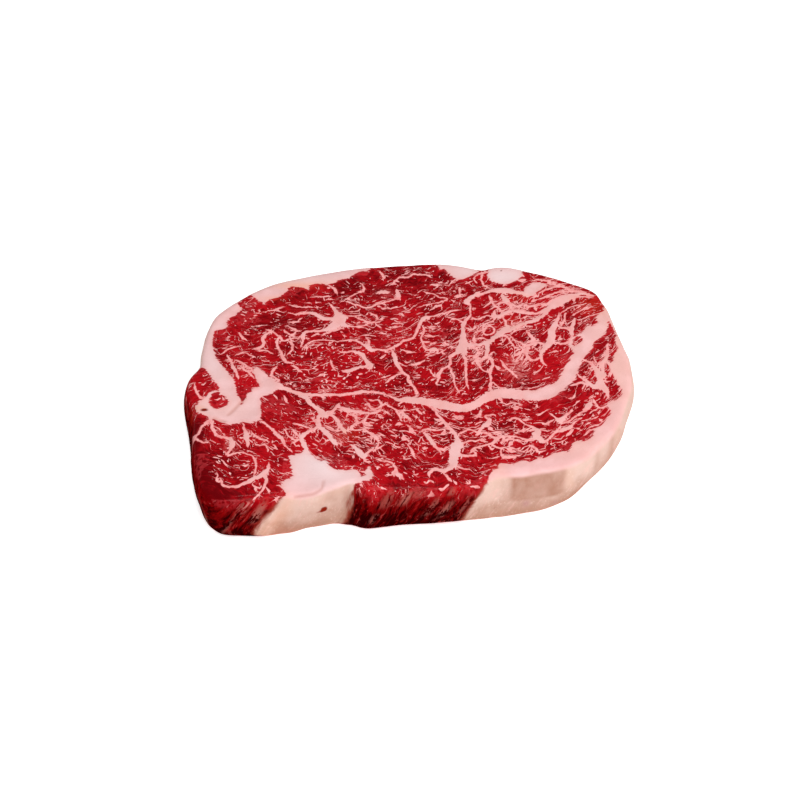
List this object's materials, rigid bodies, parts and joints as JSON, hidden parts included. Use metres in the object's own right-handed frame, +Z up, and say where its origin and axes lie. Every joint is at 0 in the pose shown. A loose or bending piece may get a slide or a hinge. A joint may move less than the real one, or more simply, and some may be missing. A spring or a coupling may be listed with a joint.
{
  "type": "raw ribeye steak",
  "caption": "Thick marbled slice of raw rib beef with fat seams and a fat edge, cut flat on both faces, lying on its underside.",
  "frame": {"origin": "middle of the steak's footprint, on the surface that it lies on", "axes": "+X along the steak towards its fat-covered end, +Y across it towards the eye muscle's back edge, +Z up out of the marbled face"},
  "size_m": [0.1917, 0.1457, 0.0258],
  "materials": {
    "raw_beef": "moist raw beef, deep red lean with pink-white marbling and fat seams, cream fat on the wall, soft wet sheen; not plastic"
  },
  "bodies": {
    "root": {"steak": "raw_beef"}
  },
  "joints": []
}
